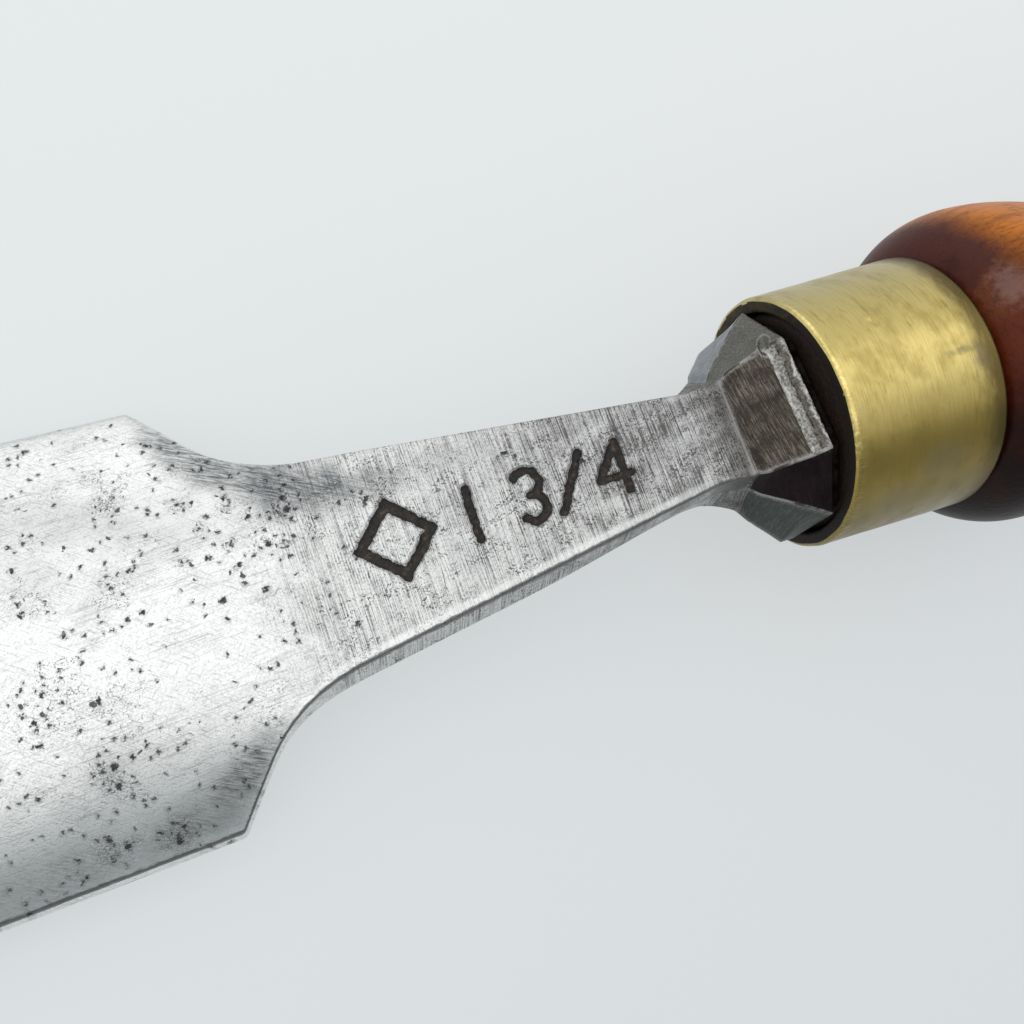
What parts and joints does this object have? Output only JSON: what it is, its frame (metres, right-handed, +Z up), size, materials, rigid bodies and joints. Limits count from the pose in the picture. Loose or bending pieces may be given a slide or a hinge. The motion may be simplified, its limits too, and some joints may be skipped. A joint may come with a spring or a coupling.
{
  "type": "gouge",
  "caption": "Wide tanged firmer gouge: arched steel blade, tapering flat neck with a faceted bolster, brass ferrule and turned wooden handle.",
  "frame": {"origin": "centre of the tool's footprint on the surface it lies on, hollow side down", "axes": "+X along the tool from cutting edge to handle, +Y across the blade, +Z up out of the convex back; the tool's own axis rises 1.4 degrees towards the handle, because it lies on its cutting edge's corners and on the handle's bulb"},
  "size_m": [0.314, 0.0446, 0.0346],
  "materials": {
    "forged_steel": "ground by hand, satin, with small dark rust pits and dark forge scale on the bolster",
    "brass": "lightly brushed, tarnished at the front end",
    "handle_wood": "dark red-brown, glossy polish, worn"
  },
  "bodies": {
    "root": {"blade_forging": "forged_steel", "ferrule": "brass", "handle": "handle_wood"}
  },
  "joints": []
}
